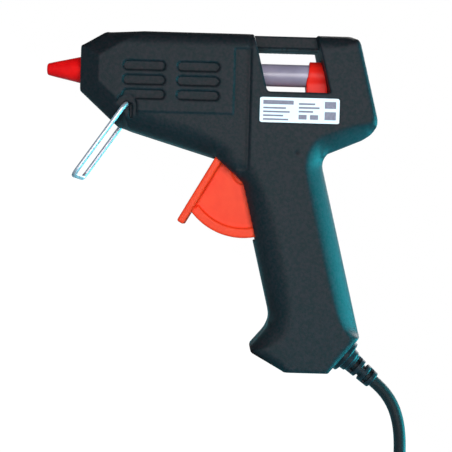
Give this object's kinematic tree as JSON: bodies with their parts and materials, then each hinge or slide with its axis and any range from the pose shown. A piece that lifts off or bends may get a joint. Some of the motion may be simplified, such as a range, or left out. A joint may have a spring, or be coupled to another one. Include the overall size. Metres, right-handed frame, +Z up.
{
  "type": "glue gun",
  "caption": "Mini hot-melt glue gun with a trigger feed, see-through stick window, folding wire stand and a mains cord tied in a hank, parked nose down on its stand.",
  "frame": {"origin": "middle of the footprint of the parked gun, on the surface that it stands on", "axes": "+X from the nozzle's end to the cord's end, +Z up, +Y to the gun's right side"},
  "size_m": [0.2895, 0.0376, 0.0944],
  "materials": {
    "shell_plastic": "fine sparked texture, near black",
    "screw_steel": "zinc-plated",
    "red_silicone": "soft satin red",
    "brass": "machined",
    "cast_aluminium": "as cast",
    "ceramic": "fired ceramic",
    "insulation_film": "amber film",
    "spring_steel": "spring wire and strip",
    "phenolic": "moulded heat-resistant resin",
    "clear_silicone": "translucent",
    "hot_glue": "translucent hot-melt glue",
    "red_plastic": "satin red",
    "gripper_plastic": "natural nylon",
    "trigger_plastic": "satin orange-red",
    "chromed_wire": "chromed wire",
    "label_film": "printed film",
    "black_rubber": "matte black",
    "cord_jacket": "black PVC jacket",
    "brown_insulation": "brown core",
    "blue_insulation": "blue core",
    "connector_plastic": "nylon crimp cap",
    "tie_plastic": "soft black tie",
    "plug_plastic": "moulded PVC",
    "plug_brass": "nickel-plated brass pins"
  },
  "bodies": {
    "housing": {"left_housing": "shell_plastic", "right_housing": "shell_plastic", "housing_screws": "screw_steel", "nozzle_cover": "red_silicone", "nozzle": "brass", "heating_barrel": "cast_aluminium", "heater_element": "ceramic", "contact_plates": "brass", "heater_insulation": "insulation_film", "heater_clip": "spring_steel", "barrel_support": "phenolic", "inlet_sleeve": "clear_silicone", "sleeve_clip": "spring_steel", "trigger_pin": "screw_steel", "return_spring": "spring_steel", "rating_label": "label_film", "strain_relief": "black_rubber", "cord_clamp": "phenolic", "cord_clamp_screws": "screw_steel", "cord_jacket_end": "cord_jacket", "live_lead": "brown_insulation", "neutral_lead": "blue_insulation", "wire_connectors": "connector_plastic", "live_core": "brown_insulation", "neutral_core": "blue_insulation", "power_cord": "cord_jacket", "cord_hank": "cord_jacket", "cord_tail": "cord_jacket", "hank_tie": "tie_plastic", "plug_body": "plug_plastic", "plug_pins": "plug_brass"},
    "stick": {"glue_stick": "hot_glue"},
    "carriage": {"feed_carriage": "red_plastic"},
    "gripper": {"stick_gripper": "gripper_plastic"},
    "trigger": {"trigger": "trigger_plastic"},
    "stand": {"wire_stand": "chromed_wire"}
  },
  "joints": [
    {"name": "trigger_hinge", "type": "hinge", "parent": "housing", "child": "trigger", "pos_m": [-0.00424, 0, 0.03918], "axis": [0, -1, 0], "range_deg": [0, 27], "stiffness_Nm_per_rad": 0.25, "springref_deg": -8.59},
    {"name": "carriage_slide", "type": "slide", "parent": "housing", "child": "carriage", "axis": [-0.7314, 0, -0.682], "range_m": [0, 0.01033], "deforming": ["return_spring"]},
    {"name": "gripper_tilt", "type": "hinge", "parent": "carriage", "child": "gripper", "pos_m": [-0.00038, 0, 0.07654], "axis": [0, -1, 0], "range_deg": [0, 6.01]},
    {"name": "stick_slide", "type": "slide", "parent": "housing", "child": "stick", "axis": [-0.7314, 0, -0.682], "range_m": [-0.06, 0.0106]},
    {"name": "stand_hinge", "type": "hinge", "parent": "housing", "child": "stand", "pos_m": [-0.04583, 0, 0.02836], "axis": [0, -1, 0], "range_deg": [0, 88]}
  ],
  "couplings": [
    {"joint": "carriage_slide", "follows": "trigger_hinge", "m_per_rad": 0.021896},
    {"joint": "gripper_tilt", "follows": "trigger_hinge", "ratio": 0.22222}
  ]
}
